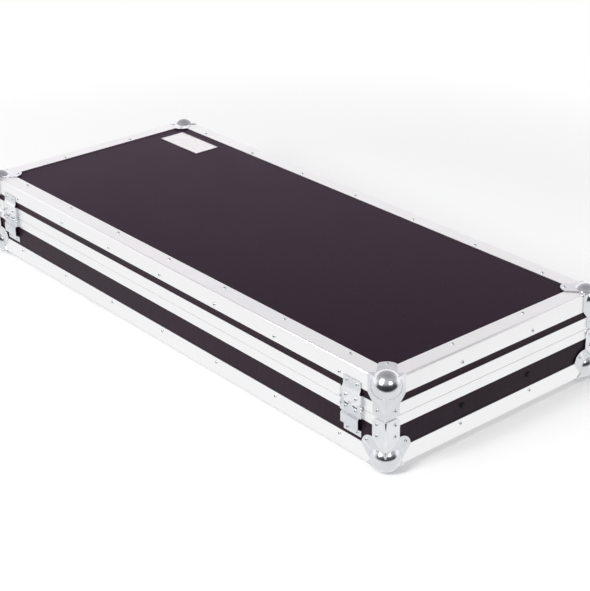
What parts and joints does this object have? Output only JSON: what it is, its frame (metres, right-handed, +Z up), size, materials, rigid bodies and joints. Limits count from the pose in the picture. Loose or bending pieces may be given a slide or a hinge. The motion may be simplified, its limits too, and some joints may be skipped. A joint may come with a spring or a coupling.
{
  "type": "guitar stand case",
  "caption": "Low oblong road case in dark faced plywood with aluminium edging, ball corners, recessed latches and a folding handle; it opens into a rack for guitars.",
  "frame": {"origin": "middle of the case on the surface that it stands on", "axes": "+X along the case, +Y from the hinges to the latches, +Z up"},
  "size_m": [1.1176, 0.4806, 0.1661],
  "materials": {
    "film_plywood": "dark phenolic film on plywood, fine mesh print, satin",
    "comb_plywood": "bare birch plywood, sealed",
    "edging_aluminium": "mill finish extrusion, lightly brushed",
    "closing_profile_aluminium": "mill finish extrusion",
    "corner_steel": "bright zinc plate on pressed steel",
    "hinge_steel": "bright zinc plate",
    "rivet_metal": "plain blind rivets",
    "dish_steel": "bright zinc plate on deep drawn steel",
    "latch_steel": "bright zinc plate",
    "handle_steel": "bright zinc plate",
    "grip_rubber": "moulded grip, matt",
    "rail_steel": "black powder coat",
    "black_bolt": "black oxide",
    "foam": "closed cell foam, dark grey",
    "badge": "blank white plate with a fine dark border"
  },
  "bodies": {
    "tray": {"guitar_rails": "rail_steel", "handle_dish": "dish_steel", "hinge_lower_leaf_left": "hinge_steel", "hinge_lower_leaf_right": "hinge_steel", "hinge_pins": "hinge_steel", "latch_dish_left": "dish_steel", "latch_dish_right": "dish_steel", "rail_bolts": "black_bolt", "rail_foam_sleeves": "foam", "tray_ball_corner_hinge_left": "corner_steel", "tray_ball_corner_hinge_right": "corner_steel", "tray_ball_corner_latch_left": "corner_steel", "tray_ball_corner_latch_right": "corner_steel", "tray_corner_braces": "corner_steel", "tray_end_closures": "closing_profile_aluminium", "tray_floor_panel": "film_plywood", "tray_foam_pad": "foam", "tray_hinge_side_closure": "closing_profile_aluminium", "tray_hinge_side_edging": "edging_aluminium", "tray_hinge_side_panel": "film_plywood", "tray_latch_side_closure": "closing_profile_aluminium", "tray_latch_side_edging": "edging_aluminium", "tray_latch_side_panel": "film_plywood", "tray_left_end_edging": "edging_aluminium", "tray_left_end_panel": "film_plywood", "tray_right_end_edging": "edging_aluminium", "tray_right_end_panel": "film_plywood", "tray_rivets": "rivet_metal"},
    "lid": {"blank_badge": "badge", "hinge_upper_leaf_left": "hinge_steel", "hinge_upper_leaf_right": "hinge_steel", "latch_keeper_dishes": "dish_steel", "lid_ball_corner_hinge_left": "corner_steel", "lid_ball_corner_hinge_right": "corner_steel", "lid_ball_corner_latch_left": "corner_steel", "lid_ball_corner_latch_right": "corner_steel", "lid_end_closures": "closing_profile_aluminium", "lid_foam_pad": "foam", "lid_hinge_side_closure": "closing_profile_aluminium", "lid_hinge_side_edging": "edging_aluminium", "lid_hinge_side_panel": "film_plywood", "lid_latch_side_closure": "closing_profile_aluminium", "lid_latch_side_edging": "edging_aluminium", "lid_latch_side_panel": "film_plywood", "lid_left_end_edging": "edging_aluminium", "lid_left_end_panel": "film_plywood", "lid_right_end_edging": "edging_aluminium", "lid_right_end_panel": "film_plywood", "lid_rivets": "rivet_metal", "lid_top_panel": "film_plywood", "neck_comb": "comb_plywood", "neck_foam_liners": "foam"},
    "latch_hook_left": {"latch_hook_left": "latch_steel"},
    "latch_hook_right": {"latch_hook_right": "latch_steel"},
    "latch_rotor_left": {"latch_rotor_left": "latch_steel"},
    "latch_rotor_right": {"latch_rotor_right": "latch_steel"},
    "latch_wing_left": {"latch_wing_left": "latch_steel"},
    "latch_wing_right": {"latch_wing_right": "latch_steel"},
    "handle": {"handle_bail": "handle_steel", "handle_grip": "grip_rubber"}
  },
  "joints": [
    {"name": "lid_hinge", "type": "hinge", "parent": "tray", "child": "lid", "pos_m": [0, -0.2331, 0.0943], "axis": [1, 0, 0], "range_deg": [0, 95]},
    {"name": "handle_pivot", "type": "hinge", "parent": "tray", "child": "handle", "pos_m": [0, 0.226, 0.0677], "axis": [1, 0, 0], "range_deg": [0, 90]},
    {"name": "hook_left_pivot", "type": "hinge", "parent": "tray", "child": "latch_hook_left", "pos_m": [-0.33, 0.2229, 0.0618], "axis": [1, 0, 0], "range_deg": [0, 18]},
    {"name": "rotor_left_turn", "type": "hinge", "parent": "latch_hook_left", "child": "latch_rotor_left", "pos_m": [-0.33, 0.22985, 0.07899], "axis": [0, 0.9511, -0.309], "range_deg": [0, 90]},
    {"name": "wing_left_fold", "type": "hinge", "parent": "latch_rotor_left", "child": "latch_wing_left", "pos_m": [-0.33, 0.23461, 0.07745], "axis": [1, 0, 0], "range_deg": [0, 90]},
    {"name": "hook_right_pivot", "type": "hinge", "parent": "tray", "child": "latch_hook_right", "pos_m": [0.33, 0.2229, 0.0618], "axis": [1, 0, 0], "range_deg": [0, 18]},
    {"name": "rotor_right_turn", "type": "hinge", "parent": "latch_hook_right", "child": "latch_rotor_right", "pos_m": [0.33, 0.22985, 0.07899], "axis": [0, 0.9511, -0.309], "range_deg": [0, 90]},
    {"name": "wing_right_fold", "type": "hinge", "parent": "latch_rotor_right", "child": "latch_wing_right", "pos_m": [0.33, 0.23461, 0.07745], "axis": [1, 0, 0], "range_deg": [0, 90]}
  ]
}
